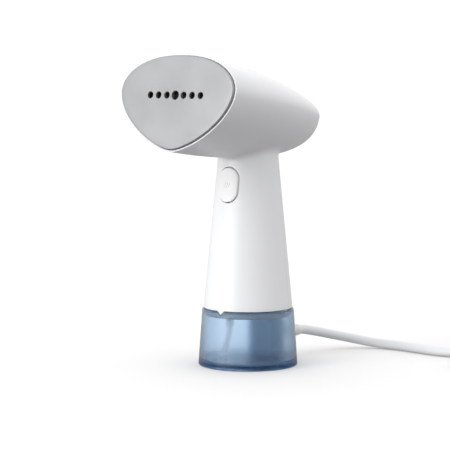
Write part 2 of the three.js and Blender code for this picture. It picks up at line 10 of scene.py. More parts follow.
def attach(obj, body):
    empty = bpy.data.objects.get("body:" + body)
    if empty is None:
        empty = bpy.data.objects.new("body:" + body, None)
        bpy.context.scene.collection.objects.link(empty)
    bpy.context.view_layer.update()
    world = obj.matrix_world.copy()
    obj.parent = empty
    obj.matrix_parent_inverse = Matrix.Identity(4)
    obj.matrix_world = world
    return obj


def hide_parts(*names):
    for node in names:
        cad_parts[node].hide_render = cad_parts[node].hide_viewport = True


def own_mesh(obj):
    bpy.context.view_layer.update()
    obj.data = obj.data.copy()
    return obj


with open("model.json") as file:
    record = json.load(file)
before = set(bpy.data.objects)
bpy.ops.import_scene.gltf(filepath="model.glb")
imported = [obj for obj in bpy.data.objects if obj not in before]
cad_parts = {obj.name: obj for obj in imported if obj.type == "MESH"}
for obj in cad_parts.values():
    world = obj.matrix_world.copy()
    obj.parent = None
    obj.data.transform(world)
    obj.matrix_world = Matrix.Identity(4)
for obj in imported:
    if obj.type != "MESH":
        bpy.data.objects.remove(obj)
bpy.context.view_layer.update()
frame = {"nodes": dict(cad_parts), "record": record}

nodes = frame["nodes"]
mm = 0.001
print("frame loaded,", len(nodes), "CAD nodes")


def clearSelection():
    bpy.ops.object.select_all(action="DESELECT")


def makeActive(piece):
    clearSelection()
    piece.select_set(True)
    bpy.context.view_layer.objects.active = piece


def startEdit(piece):
    makeActive(piece)
    bpy.ops.object.mode_set(mode="EDIT")


def endEdit():
    bpy.ops.object.mode_set(mode="OBJECT")


def pick(piece, kind, test):  # in edit mode: selects the verts, edges or faces that pass the test
    bpy.ops.mesh.select_mode(type=kind)
    bpy.ops.mesh.select_all(action="DESELECT")
    grid = bmesh.from_edit_mesh(piece.data)
    for part in {"VERT": grid.verts, "EDGE": grid.edges, "FACE": grid.faces}[kind]:
        part.select_set(bool(test(part)))
    bmesh.update_edit_mesh(piece.data)


def applyPlace(piece):
    makeActive(piece)
    bpy.ops.object.transform_apply(location=True, rotation=True, scale=True)
    return piece


def mergeDoubles(piece):
    startEdit(piece)
    bpy.ops.mesh.select_all(action="SELECT")
    bpy.ops.mesh.remove_doubles(threshold=0.002 * mm)
    bpy.ops.mesh.normals_make_consistent(inside=False)
    endEdit()
    return piece


# A circle is drawn out ring by ring, and then each ring takes its own section:
# place(angle, ring) gives each point, in millimetres.
def drawTube(name, sides, rings, place, joined=False):
    clearSelection()
    bpy.ops.mesh.primitive_circle_add(vertices=sides, radius=1)
    piece = bpy.context.active_object
    piece.name = name
    bpy.ops.object.mode_set(mode="EDIT")
    bpy.ops.mesh.select_all(action="SELECT")
    for ring in range(rings - 1):
        bpy.ops.mesh.extrude_edges_move(TRANSFORM_OT_translate={"value": (0, 0, 1)})
    endEdit()
    for point in piece.data.vertices:
        angle = math.atan2(point.co.y, point.co.x)
        point.co = place(angle, round(point.co.z)) * mm
    if joined:  # the last ring meets the first one
        startEdit(piece)
        bpy.ops.mesh.select_mode(type="EDGE")
        bpy.ops.mesh.select_all(action="DESELECT")
        bpy.ops.mesh.select_non_manifold()
        bpy.ops.mesh.bridge_edge_loops()
        endEdit()
    return mergeDoubles(piece)


# A round piece about an upright line, from its [radius, height] stations in millimetres.
def drawTurned(name, stations, sides=96, centre=(0, 0), joined=False):
    def place(angle, ring):
        radius, height = stations[ring]
        across = centre[0] + radius * math.cos(angle)
        return Vector((across, centre[1] + radius * math.sin(angle), height))
    return drawTube(name, sides, len(stations), place, joined)


# The stations of a plain rod.
def rod(radius, low, high):
    return [(0, low), (radius, low), (radius, high), (0, high)]


# A round piece lying along Y, from its [radius, place] stations.
def pipeAlongY(name, stations, x, z, sides=64, joined=False):
    def place(angle, ring):
        radius, along = stations[ring]
        return Vector((x + radius * math.cos(angle), along, z + radius * math.sin(angle)))
    return drawTube(name, sides, len(stations), place, joined)


def drawBlock(name, low, high, bevel=0, segments=3, only=None):
    clearSelection()
    middle = [(a + b) / 2 * mm for a, b in zip(low, high)]
    bpy.ops.mesh.primitive_cube_add(size=1, location=middle)
    piece = bpy.context.active_object
    piece.name = name
    bpy.ops.object.mode_set(mode="EDIT")
    bpy.ops.transform.resize(value=[(b - a) * mm for a, b in zip(low, high)])
    if bevel:
        pick(piece, "EDGE", only or (lambda edge: True))
        bpy.ops.mesh.bevel(offset=bevel * mm, segments=segments, affect="EDGES")
    endEdit()
    return applyPlace(piece)


def carve(piece, tool, how="DIFFERENCE"):
    makeActive(piece)
    cutter = piece.modifiers.new("carve", "BOOLEAN")
    cutter.operation = how
    cutter.solver = "EXACT"
    cutter.object = tool
    bpy.ops.object.modifier_apply(modifier=cutter.name)
    bpy.data.objects.remove(tool)
    return piece


def copyPiece(piece, name):
    twin = piece.copy()
    twin.data = piece.data.copy()
    twin.name = name
    bpy.context.collection.objects.link(twin)
    return twin


def joinPieces(name, *pieces):
    clearSelection()
    for piece in pieces:
        piece.select_set(True)
    bpy.context.view_layer.objects.active = pieces[0]
    bpy.ops.object.join()
    pieces[0].name = name
    return pieces[0]


def softenEdges(piece, width, segments=2, angle=40):
    makeActive(piece)
    bevel = piece.modifiers.new("soften", "BEVEL")
    bevel.width = width * mm
    bevel.segments = segments
    bevel.limit_method = "ANGLE"
    bevel.angle_limit = math.radians(angle)
    bpy.ops.object.modifier_apply(modifier=bevel.name)
    return piece


def shadeSmooth(piece, angle=35):
    makeActive(piece)
    bpy.ops.object.shade_smooth_by_angle(angle=math.radians(angle))
    return piece


def finishPiece(piece, finish, body, replaced=(), smooth=35):
    shadeSmooth(piece, smooth)
    piece.data.materials.clear()
    piece.data.materials.append(finishes[finish])
    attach(piece, body)
    if replaced:
        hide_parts(*replaced)
    return piece


cameraSettings = {
    "bearing": 37.14,  # degrees from the plate's side, towards +X
    "distance": 1300,
    "height": 213.3,
    "heading": 37.86,
    "pitch": 84.98,
    "lens": 147.56,
}


def makeCamera(use):
    bearing = math.radians(use["bearing"])
    view = bpy.data.cameras.new("camera")
    view.lens = use["lens"]
    view.sensor_width = 36
    view.clip_start = 0.05
    view.clip_end = 30
    holder = bpy.data.objects.new("camera", view)
    holder.location = (
        use["distance"] * math.sin(bearing) * mm,
        -use["distance"] * math.cos(bearing) * mm,
        use["height"] * mm,
    )
    holder.rotation_euler = (math.radians(use["pitch"]), 0, math.radians(use["heading"]))
    bpy.context.collection.objects.link(holder)
    bpy.context.scene.camera = holder


makeCamera(cameraSettings)
print("camera placed")


# A material with one shader, and the object's own coordinates for its patterns.
class Finish:
    def __init__(self, name, color, roughness, **sockets):
        self.material = bpy.data.materials.new(name)
        self.material.use_nodes = True
        self.tree = self.material.node_tree
        self.shader = self.tree.nodes["Principled BSDF"]
        self.shader.inputs["Base Color"].default_value = (*color, 1)
        self.shader.inputs["Roughness"].default_value = roughness
        for socket, value in sockets.items():
            self.shader.inputs[socket.replace("_", " ")].default_value = value
        self.places = self.add("ShaderNodeTexCoord").outputs["Object"]
        self.color = color
        self.bumpBefore = None

    def add(self, kind, **values):
        node = self.tree.nodes.new(kind)
        for name, value in values.items():
            if name in node.inputs:
                node.inputs[name].default_value = value
            else:
                setattr(node, name, value)
        return node

    def link(self, start, end):
        self.tree.links.new(start, end)

    # Points stretched along the axes, for a grain that runs one way.
    def stretched(self, scale, turn=(0, 0, 0)):
        mapping = self.add("ShaderNodeMapping")
        mapping.inputs["Scale"].default_value = scale
        mapping.inputs["Rotation"].default_value = turn
        self.link(self.places, mapping.inputs["Vector"])
        return mapping.outputs["Vector"]

    def noise(self, scale, detail=3, points=None):
        node = self.add("ShaderNodeTexNoise", Scale=scale, Detail=detail)
        self.link(points or self.places, node.inputs["Vector"])
        return node.outputs["Fac"]

    # Each bump adds to the ones before it. Heights are in millimetres.
    def bump(self, pattern, height, strength=1):
        node = self.add("ShaderNodeBump", Strength=strength, Distance=height * mm)
        self.link(pattern, node.inputs["Height"])
        if self.bumpBefore:
            self.link(self.bumpBefore, node.inputs["Normal"])
        self.bumpBefore = node.outputs["Normal"]
        self.link(self.bumpBefore, self.shader.inputs["Normal"])

    def varyRoughness(self, pattern, low, high):
        node = self.add("ShaderNodeMapRange")
        node.inputs["From Min"].default_value = 0.3
        node.inputs["From Max"].default_value = 0.7
        node.inputs["To Min"].default_value = low
        node.inputs["To Max"].default_value = high
        self.link(pattern, node.inputs["Value"])
        self.link(node.outputs["Result"], self.shader.inputs["Roughness"])

    def varyColor(self, pattern, other):
        node = self.add("ShaderNodeMix", data_type="RGBA")
        socket = [s for s in node.inputs if s.type == "RGBA"]
        socket[0].default_value = (*self.color, 1)
        socket[1].default_value = (*other, 1)
        self.link(pattern, node.inputs["Factor"])
        colors = [s for s in node.outputs if s.type == "RGBA"]
        self.link(colors[0], self.shader.inputs["Base Color"])


# A finish with blotches (noise scale, detail, other colour), wear (scale, detail, lowest and highest
# roughness) and grain (scale, detail, height in millimetres).
def grained(name, color, roughness, blotches=None, wear=None, grain=None, **sockets):
    finish = Finish(name, color, roughness, **sockets)
    if blotches:
        finish.varyColor(finish.noise(*blotches[:2]), blotches[2])
    finish.varyRoughness(finish.noise(*wear[:2]), *wear[2:])
    if grain:
        finish.bump(finish.noise(*grain[:2]), grain[2])
    return finish.material


# Part of the tint is at the skin and part in the depth, so that the floor deepens; the darker blue towards
# the edges, where the surface turns away from view, is painted shade.
def tankBlue():
    finish = Finish("translucentBlue", (0.775, 0.875, 0.97), 0.24, IOR=1.4, Transmission_Weight=1)
    finish.varyRoughness(finish.noise(35, 4), 0.21, 0.28)
    finish.bump(finish.noise(220, 3), 0.02)
    # painted shade: the colour darkens to a deep blue where the surface is seen edge-on
    paintedGrazingShade = finish.add("ShaderNodeMath", operation="POWER")
    paintedGrazingShade.inputs[1].default_value = 4
    finish.link(finish.add("ShaderNodeLayerWeight").outputs["Facing"], paintedGrazingShade.inputs[0])
    finish.varyColor(paintedGrazingShade.outputs["Value"], (0.12, 0.24, 0.42))
    tint = finish.add("ShaderNodeVolumeAbsorption", Color=(0.22, 0.5, 0.76, 1), Density=60)
    finish.link(tint.outputs["Volume"], finish.tree.nodes["Material Output"].inputs["Volume"])
    return finish.material


def strapFabric():
    finish = Finish("wovenStrap", (0.02, 0.02, 0.022), 0.85, Sheen_Weight=0.25)
    for turn in (0, math.pi / 2):
        threads = finish.add("ShaderNodeTexWave", Scale=700, Distortion=0.6)
        finish.link(finish.stretched((1, 1, 1), (0, 0, turn)), threads.inputs["Vector"])
        finish.bump(threads.outputs["Fac"], 0.08)
    finish.varyColor(finish.noise(300, 3), (0.035, 0.035, 0.038))
    finish.varyRoughness(finish.noise(200, 3), 0.75, 0.95)
    return finish.material


def softRubber(name, color, other):
    return grained(name, color, 0.7, (60, 4, other), (140, 4, 0.62, 0.78), (1100, 3, 0.015))


def brightSteel():
    finish = Finish("brightSteel", (0.56, 0.565, 0.575), 0.3, Metallic=1)
    finish.varyRoughness(finish.noise(200, 4, finish.stretched((1, 8, 1))), 0.24, 0.38)
    finish.bump(finish.noise(900, 3, finish.stretched((1, 12, 1))), 0.004)
    return finish.material


def windingCopper():
    finish = Finish("enamelledWinding", (0.50, 0.20, 0.08), 0.35, Metallic=0.9)
    rings = finish.add("ShaderNodeTexWave", bands_direction="Z", Scale=900)
    finish.link(finish.places, rings.inputs["Vector"])
    finish.bump(rings.outputs["Fac"], 0.12)
    finish.varyRoughness(finish.noise(300, 3), 0.3, 0.45)
    return finish.material


finishes = {
    "white_plastic": grained(  # its grain is the fine orange peel of a moulding
        "satinWhiteAbs", (0.86, 0.865, 0.875), 0.32, (14, 2, (0.83, 0.835, 0.845)),
        (60, 4, 0.28, 0.37), (900, 2, 0.006), IOR=1.5, Specular_IOR_Level=0.5,
    ),
    "button": grained(
        "buttonWhiteAbs", (0.88, 0.88, 0.885), 0.38, None, (90, 4, 0.34, 0.43), (1500, 2, 0.008), IOR=1.5
    ),
    "sign": grained(
        "greyInk", (0.55, 0.555, 0.565), 0.5, (400, 2, (0.6, 0.605, 0.615)), (600, 3, 0.45, 0.58)
    ),
    "plate_metal": grained(  # bead-blasted
        "satinPlate", (0.36, 0.364, 0.372), 0.5, (9, 3, (0.335, 0.339, 0.347)),
        (45, 5, 0.46, 0.56), (2600, 3, 0.006), Metallic=0.7,
    ),
    "tank_blue": tankBlue(),
    # painted shade: a darker copy of the tank's blue, for a dark line along the rim's top edge
    "tank_edge": grained(
        "paintedShadeBlueEdge", (0.1, 0.17, 0.28), 0.25, None, (35, 4, 0.21, 0.28), IOR=1.4, Transmission_Weight=0.2
    ),
    "clear_plastic": grained(
        "naturalPolypropylene", (0.62, 0.69, 0.76), 0.35, None,
        (80, 3, 0.3, 0.42), (500, 2, 0.01), IOR=1.49, Transmission_Weight=0.35,
    ),
    "lid": grained(  # clouded, but lets most light through
        "milkyPolypropylene", (0.95, 0.97, 0.99), 0.4, None,
        (80, 3, 0.35, 0.48), (500, 2, 0.01), IOR=1.06, Transmission_Weight=0.74,
    ),
    "soft_tube": grained(
        "clearSoftTube", (0.95, 0.965, 0.98), 0.35, None,
        (80, 3, 0.3, 0.42), (400, 2, 0.01), IOR=1.12, Transmission_Weight=0.85,
    ),
    "strap": strapFabric(),
    "grey_rubber": softRubber("greyRubber", (0.27, 0.28, 0.3), (0.22, 0.23, 0.25)),
    "silicone": softRubber("whiteSilicone", (0.72, 0.71, 0.67), (0.66, 0.65, 0.61)),
    "cast_aluminium": grained(
        "castAluminium", (0.50, 0.505, 0.51), 0.55, (120, 4, (0.42, 0.425, 0.43)),
        (200, 4, 0.48, 0.68), (800, 4, 0.05), Metallic=1,
    ),
    "steel": brightSteel(),
    # painted shade: near-black steel for the parts seen through the plate's holes, so the holes read dark
    "dark_steel": grained(
        "paintedShadeDarkSteel", (0.012, 0.012, 0.013), 0.6, (150, 4, (0.02, 0.019, 0.018)),
        (200, 4, 0.5, 0.7), Metallic=0.3,
    ),
    "copper": windingCopper(),
    "black_plastic": grained(
        "blackNylon", (0.018, 0.018, 0.02), 0.5, None, (160, 4, 0.42, 0.6), (1400, 3, 0.015)
    ),
    "circuit_board": grained(
        "boardLacquer", (0.02, 0.11, 0.05), 0.35, (260, 2, (0.03, 0.15, 0.07)),
        (120, 4, 0.28, 0.45), (500, 3, 0.02),
    ),
    "lead_sheath": grained(
        "leadSheath", (0.82, 0.825, 0.83), 0.42, (30, 3, (0.78, 0.785, 0.79)),
        (110, 4, 0.38, 0.5), (700, 2, 0.012), IOR=1.5,
    ),
}
for part in frame["record"]["subparts"]:
    carried = nodes[part["node"]]
    carried.data.materials.clear()
    carried.data.materials.append(finishes[part["material_slot"]])
# The diffuser and boiler behind the plate's holes take the near-black steel: painted shade inside the holes.
nodes["steam_diffuser"].data.materials[0] = finishes["dark_steel"]
nodes["boiler_body"].data.materials[0] = finishes["dark_steel"]
print("materials made and given to the CAD nodes")


leadSettings = {
    "diameter": 7,
    # straight out of the relief, down to the table and round to the coil
    "route": [
        (0, 58.3, 17.8), (0.02, 62, 17.75), (0.15, 68, 17.1), (1.5, 76, 15.4), (4.6, 86.5, 12.9),
        (10, 97, 10.1), (17.5, 106.5, 7.4), (27, 113.5, 5), (39, 117.5, 3.7), (54, 117.8, 3.5),
        (72, 115, 3.5), (90, 113, 3.5), (108, 117, 3.6), (126, 128, 3.9),
    ],
    # from the coil down to the plug beside it
    "tail": [(219.9, 90, 11.7), (219.3, 80, 11), (217.6, 70, 9.7), (215.5, 60, 8.3), (213.8, 52, 7.4),
             (213, 44.3, 7.2)],
    "coilCentre": (174, 98),
    "entryAngle": 127.4,
    "entryRadius": 53.2,
    "radii": (45.9, 38.6, 31.3),
    "lowLayer": 4.5,
    "highLayer": 11.8,
    "pointsPerTurn": 20,
}


def ease(start, end, share):
    share = min(1, max(0, share))
    return start + (end - start) * share * share * (3 - 2 * share)


# Radius and height after so many degrees wound: three turns inwards, a climb, three turns outwards.
def coilSection(use, wound):
    outer, middle, inner = use["radii"]
    steps = [(0, 50, use["entryRadius"], outer), (360, 410, outer, middle), (720, 770, middle, inner),
             (1310, 1370, inner, middle), (1670, 1730, middle, outer)]
    radius = use["entryRadius"]
    for start, end, before, after in steps:
        if wound >= start:
            radius = ease(before, after, (wound - start) / (end - start))
    height = ease(use["lowLayer"], use["highLayer"], (wound - 1020) / 60)
    return radius, height


def makeLead(use):
    points = [Vector(p) for p in use["route"]]
    centre = Vector((*use["coilCentre"], 0))
    turned = 0
    lastTurn = 1800 + use["entryAngle"]
    while turned <= lastTurn + 1:
        radius, height = coilSection(use, turned)
        angle = math.radians(use["entryAngle"] - turned)
        points.append(centre + Vector((radius * math.cos(angle), radius * math.sin(angle), height)))
        turned += 360 / use["pointsPerTurn"]
    points += [Vector(p) for p in use["tail"]]
    line = bpy.data.curves.new("mainsLead", "CURVE")
    line.dimensions = "3D"
    line.bevel_depth = use["diameter"] / 2 * mm
    line.bevel_resolution = 6
    line.resolution_u = 6
    line.use_fill_caps = True
    spline = line.splines.new("BEZIER")
    spline.bezier_points.add(len(points) - 1)
    for knot, point in zip(spline.bezier_points, points):
        knot.co = point * mm
        knot.handle_left_type = "AUTO"
        knot.handle_right_type = "AUTO"
    lead = bpy.data.objects.new("mainsLead", line)
    bpy.context.collection.objects.link(lead)
    line.materials.append(finishes["lead_sheath"])
    length = sum((b - a).length for a, b in zip(points, points[1:])) * mm
    return lead, length


mainsLead, leadLength = makeLead(leadSettings)
print("mains lead laid,", round(leadLength, 3), "m")


headShape = {
    "plateCentre": (0, -80.7, 191.8),
    "tilt": 10.8,  # degrees that the plate leans back
    "rimDepth": 2,  # the plate stands this far out of the rim
    "length": 148.85,
    "halfWidth": 49.5,
    "upper": 25.8,
    "lower": 41,
    "lift": 2.9,
    "rise": 6.4,  # the widest line climbs this much towards the nose
    "plateHalfWidth": 48.1,
    "plateUpper": 24.4,
    "plateLower": 39.5,
}
headTurn = Matrix.Rotation(math.radians(90 - headShape["tilt"]), 3, "X")


def signedPower(value, exponent):
    return math.copysign(abs(value) ** exponent, value)


# A rounded triangle: flatter above its widest line and deeper below it.
def outlinePoint(angle, width, upper, lower, lift, tail=0):
    above = math.sin(angle) >= 0
    across = 2.233 if above else 1.436 + 0.564 * tail
    down = 1.985 if above else 1.782 + 0.218 * tail
    height = upper if above else lower
    side = signedPower(math.cos(angle), 2 / across)
    if not above:  # keeps the lower tip round
        side += 0.35 * (1 - tail) * math.cos(angle) * math.exp(-abs(math.cos(angle)) / 0.15)
    return width * side, lift + height * signedPower(math.sin(angle), 2 / down)


# From the head's own axes (across, up the plate, out of the plate) to the frame.
def fromHead(across, up, out):
    return headTurn @ Vector((across, up, out)) + Vector(headShape["plateCentre"])


# A point on the head's skin at a depth behind its rim, moved inwards by inset.
def headPoint(angle, depth, inset=0, scale=1):
    use = headShape
    share = min(1, max(0, depth / use["length"]))
    width = max(0, use["halfWidth"] * (1 - share ** 1.866) ** 0.441 - inset) * scale
    upper = max(0, use["upper"] * (1 - share ** 1.82) ** 0.539 - inset) * scale
    lower = max(0, use["lower"] * (1 - share ** 2.033) ** 0.357 - inset) * scale
    across, up = outlinePoint(
        angle, width, upper, lower, use["lift"] + use["rise"] * share, share * share,
    )
    return fromHead(across, up, -use["rimDepth"] - depth)


handleShape = {
    "hemZ": 41,
    "hemRadius": 31.54,
    "taper": 0.0956,
    "wall": 2.2,
    "coverTopZ": 140,
    "coverFrontY": 7.6,
    "seam": 0.3,
    "filletDrop": 4.2,  # how far the blend into the head reaches down the handle
    "filletReach": 4.6,  # and out along the head
    "sides": 128,
}


def handleRadius(z):
    return handleShape["hemRadius"] - handleShape["taper"] * (z - handleShape["hemZ"])


headShell = {
    "sides": 144,
    "outerRings": 52,
    "innerRings": 12,
    "wall": 1.6,
    "openingInset": 1.2,  # leaves a fine dark gap round the plate
    "openingDepth": 9,
    "rimRadius": 0.3,
}


def makeHeadShell(use):
    length = headShape["length"]
    stations = [(0.945 * length, 0, 0)]  # depth, inset, scale: the inside's own end
    for ring in range(use["innerRings"] + 1):
        share = ring / use["innerRings"]
        depth = use["openingDepth"] + 1 + (0.94 * length - use["openingDepth"] - 1) * (1 - share) ** 1.4
        stations.append((depth, use["wall"], 1))
    opening = use["openingInset"]
    stations += [
        (use["openingDepth"], opening, 1), (0.25, opening, 1),
        (0.05, opening - 0.06, 1), (0, opening - 0.16, 1),
    ]
    for turn in range(6):  # the rim's rounded outer edge
        angle = math.radians(18 * turn)
        edge = use["rimRadius"]
        stations.append((edge * (1 - math.cos(angle)), edge * (1 - math.sin(angle)), 1))
    for ring in range(1, use["outerRings"] + 1):
        share = ring / use["outerRings"]
        start = use["rimRadius"] / length
        stations.append((length * (start + (1 - start) * (1 - (1 - share) ** 2)), 0, 1))
    return drawTube(
        "headShell", use["sides"], len(stations), lambda angle, ring: headPoint(angle, *stations[ring]),
    )


# Height of the head's underside above a point of the table.
def undersideHeight(skin, angle, radius):
    start = Vector((radius * math.cos(angle), radius * math.sin(angle), 110)) * mm
    hit = skin.ray_cast(start, Vector((0, 0, 1)))
    return hit[0].z / mm


def makeHandleShell(use, head):
    skin = BVHTree.FromObject(head, bpy.context.evaluated_depsgraph_get())
    hem = use["hemZ"]
    rows = 22
    blendRows = 12
    innerRows = 8
    corners = {}

    def blendOf(angle):  # the blend's start, its control point and its end, as radius and height
        key = round(angle, 5)
        if key in corners:
            return corners[key]
        radius = handleRadius(148)
        for attempt in range(4):
            height = undersideHeight(skin, angle, radius)
            radius = handleRadius(height)
        far = radius + use["filletReach"]
        farHeight = undersideHeight(skin, angle, far)
        slope = (undersideHeight(skin, angle, far + 0.4) - undersideHeight(skin, angle, far - 0.4)) / 0.8
        middle = radius
        for attempt in range(3):
            middle = handleRadius(farHeight + slope * (middle - far))
        crossing = farHeight + slope * (middle - far)
        start = crossing - use["filletDrop"]
        beyond = undersideHeight(skin, angle, far + 0.9)
        corners[key] = (
            (handleRadius(start), start),
            (middle, crossing),
            (far, farHeight - 0.015),
            (far + 0.9, beyond + 0.06),
            height,
        )
        return corners[key]

    hemCurl = [(-1.9, 0.3), (-1.6, 0), (-0.45, 0), (-0.2, 0.06), (-0.06, 0.2)]
    total = innerRows + 1 + len(hemCurl) + rows + 1 + blendRows + 1

    def place(angle, ring):
        start, middle, end, beyond, top = blendOf(angle)
        if ring <= innerRows:
            height = top + 3 - (top + 3 - hem - 0.8) * ring / innerRows
            radius = handleRadius(height) - use["wall"]
        elif ring <= innerRows + len(hemCurl):
            inwards, height = hemCurl[ring - innerRows - 1]
            radius = use["hemRadius"] + inwards
            height += hem
        elif ring <= innerRows + len(hemCurl) + rows + 1:
            share = (ring - innerRows - len(hemCurl) - 1) / rows
            height = hem + 0.5 + (start[1] - hem - 0.5) * share
            radius = handleRadius(height)
        elif ring < total - 1:
            share = (ring - innerRows - len(hemCurl) - rows - 1) / blendRows
            radius, height = (
                (1 - share) ** 2 * a + 2 * share * (1 - share) * b + share ** 2 * c
                for a, b, c in zip(start, middle, end)
            )
        else:
            radius, height = beyond
        return Vector((radius * math.cos(angle), radius * math.sin(angle), height))

    return drawTube("handleShell", use["sides"], total, place, joined=True)


# A closed slug of the handle's cone, for cutting with.
def coneSlug(name, low, high, grow=0):
    return drawTurned(
        name,
        [(0, low), (handleRadius(low) + grow, low), (handleRadius(high) + grow, high), (0, high)],
        sides=handleShape["sides"],
    )


pointerShape = {"halfWidth": 3, "drop": 2.7, "overlap": 0.6}


# A wedge across the front of the hem, its point downwards.
def drawWedge(name, halfWidth, overlap, drop, front, thickness):
    clearSelection()
    bpy.ops.mesh.primitive_circle_add(vertices=3, radius=1, fill_type="NGON")
    wedge = bpy.context.active_object
    wedge.name = name
    corners = [(-halfWidth, overlap), (halfWidth, overlap), (0, -drop)]
    for point, corner in zip(wedge.data.vertices, corners):
        point.co = Vector((corner[0], front, handleShape["hemZ"] + corner[1])) * mm
    startEdit(wedge)
    bpy.ops.mesh.select_all(action="SELECT")
    bpy.ops.mesh.extrude_region_move(TRANSFORM_OT_translate={"value": (0, thickness * mm, 0)})
    bpy.ops.mesh.select_all(action="SELECT")
    bpy.ops.mesh.normals_make_consistent(inside=False)
    endEdit()
    return wedge


# The small pointer at the front of the hem.
def makePointer(use):
    hem = handleShape["hemZ"]
    pointer = drawWedge("pointer", use["halfWidth"], use["overlap"], use["drop"], -34, 8)
    startEdit(pointer)
    pick(pointer, "EDGE", lambda edge: all(v.co.z < (hem - 1) * mm for v in edge.verts))
    bpy.ops.mesh.bevel(offset=0.35 * mm, segments=3, affect="EDGES")
    endEdit()
    core = coneSlug("core", hem - 5, hem + 3, -handleShape["wall"])
    sleeve = carve(coneSlug("sleeve", hem - 4, hem + 2), core)
    return softenEdges(carve(pointer, sleeve, "INTERSECT"), 0.12, 2)


buttonShape = {
    "z": 128.7,
    "halfWidth": 7.75,
    "halfHeight": 12,
    "proud": 1,
    "edge": 0.4,
    "crown": 0.2,
    "backY": -17,
    "flange": 1,
    "flangeReach": 1.2,
    "stem": (2, -14.6, 123),  # radius, end and height of the rod that meets the switch
    "guide": (1.4, -14.4, 133),  # and of the one inside the spring
    "gap": 0.75,
    "sides": 72,
}


def stadiumPoint(angle, use, inset):
    straight = use["halfHeight"] - use["halfWidth"]
    radius = max(0, use["halfWidth"] - inset)
    lift = straight if math.sin(angle) >= 0 else -straight
    return radius * math.cos(angle), use["z"] + lift + radius * math.sin(angle)


def buttonSlug(use):
    stations = [(use["halfWidth"], -34), (-use["gap"], -34), (-use["gap"], -12), (use["halfWidth"], -12)]

    def place(angle, ring):
        inset, depth = stations[ring]
        across, height = stadiumPoint(angle, use, inset)
        return Vector((across, depth, height))

    return drawTube("buttonSlug", use["sides"], len(stations), place)


def makeHousing():
    use = handleShape
    head = makeHeadShell(headShell)
    handle = makeHandleShell(use, head)
    carve(head, coneSlug("throat", 120, 168, -use["wall"]))
    print("head and handle shells made")
    zone = ((-60, use["coverFrontY"] - use["seam"], 20), (60, 60, use["coverTopZ"] + use["seam"]))
    cover = copyPiece(handle, "rearCover")
    carve(handle, drawBlock("frontCut", *zone))
    carve(handle, buttonSlug(buttonShape))
    coverZone = drawBlock("coverZone", (-60, use["coverFrontY"], 20), (60, 60, use["coverTopZ"]))
    carve(cover, coverZone, "INTERSECT")
    softenEdges(handle, 0.12, 2, 50)
    softenEdges(cover, 0.12, 2, 50)
    housing = joinPieces("mainHousing", head, handle, makePointer(pointerShape))
    finishPiece(housing, "white_plastic", "handle", ["main_housing"])
    finishPiece(cover, "white_plastic", "handle", ["rear_cover"])
    print("housing and rear cover finished")


makeHousing()


def makeButton(use):
    back, reachOut = use["backY"], -use["flangeReach"]
    front = back - use["flange"]
    insets = [(use["halfWidth"], back), (reachOut, back), (reachOut, front), (0, front)]
    face = [0, 0.04, 0.12, 0.25, 0.4, 1.2, 2.6, 3.8, 5, 6.2, 7.2, use["halfWidth"]]

    def place(angle, ring):
        if ring < len(insets):
            inset, depth = insets[ring]
            across, height = stadiumPoint(angle, use, inset)
            return Vector((across, depth, height))
        inset = face[ring - len(insets)]
        across, height = stadiumPoint(angle, use, inset)
        edge = use["edge"]
        drop = edge - math.sqrt(edge ** 2 - max(0, edge - inset) ** 2)
        share = inset / use["halfWidth"]
        proud = use["proud"] - drop + use["crown"] * share * (2 - share)
        reach = handleRadius(height) + proud
        return Vector((across, -math.sqrt(reach ** 2 - across ** 2), height))

    button = drawTube("steamButton", use["sides"], len(face) + len(insets), place)
    root = back - 0.5
    for radius, end, height in (use["stem"], use["guide"]):
        stations = [(0, root), (radius, root), (radius, end - 0.3), (radius - 0.3, end), (0, end)]
        carve(button, pipeAlongY("rod", stations, 0, height, 32), "UNION")
    finishPiece(button, "button", "button", ["steam_button"])


makeButton(buttonShape)


# A faint steam sign: three wavy strokes printed on the button.
signShape = {"spacing": 1.7, "height": 4.6, "width": 0.42, "sway": 0.42, "thickness": 0.03, "steps": 16}


def makeSign(use):
    strokes = []
    for column in (-1, 0, 1):
        clearSelection()
        bpy.ops.mesh.primitive_grid_add(x_subdivisions=2, y_subdivisions=use["steps"], size=1)
        stroke = bpy.context.active_object
        tall = use["height"] * (0.78 if column else 1)
        for point in stroke.data.vertices:
            along = point.co.y
            taper = math.sqrt(max(0.05, 1 - (2 * along) ** 4))
            sway = use["sway"] * math.sin(2 * math.pi * along)
            across = column * use["spacing"] + sway + point.co.x * use["width"] * taper
            height = buttonShape["z"] + along * tall
            inset = buttonShape["halfWidth"] - abs(across)
            share = inset / buttonShape["halfWidth"]
            proud = buttonShape["proud"] + buttonShape["crown"] * share * (2 - share)
            depth = math.sqrt((handleRadius(height) + proud) ** 2 - across ** 2)
            point.co = Vector((across, -depth - use["thickness"], height)) * mm
        startEdit(stroke)
        bpy.ops.mesh.select_all(action="SELECT")
        inwards = (0, 2.5 * use["thickness"] * mm, 0)
        bpy.ops.mesh.extrude_region_move(TRANSFORM_OT_translate={"value": inwards})
        endEdit()
        strokes.append(mergeDoubles(applyPlace(stroke)))
    sign = joinPieces("steamSign", *strokes)
    finishPiece(sign, "sign", "button")


makeSign(signShape)


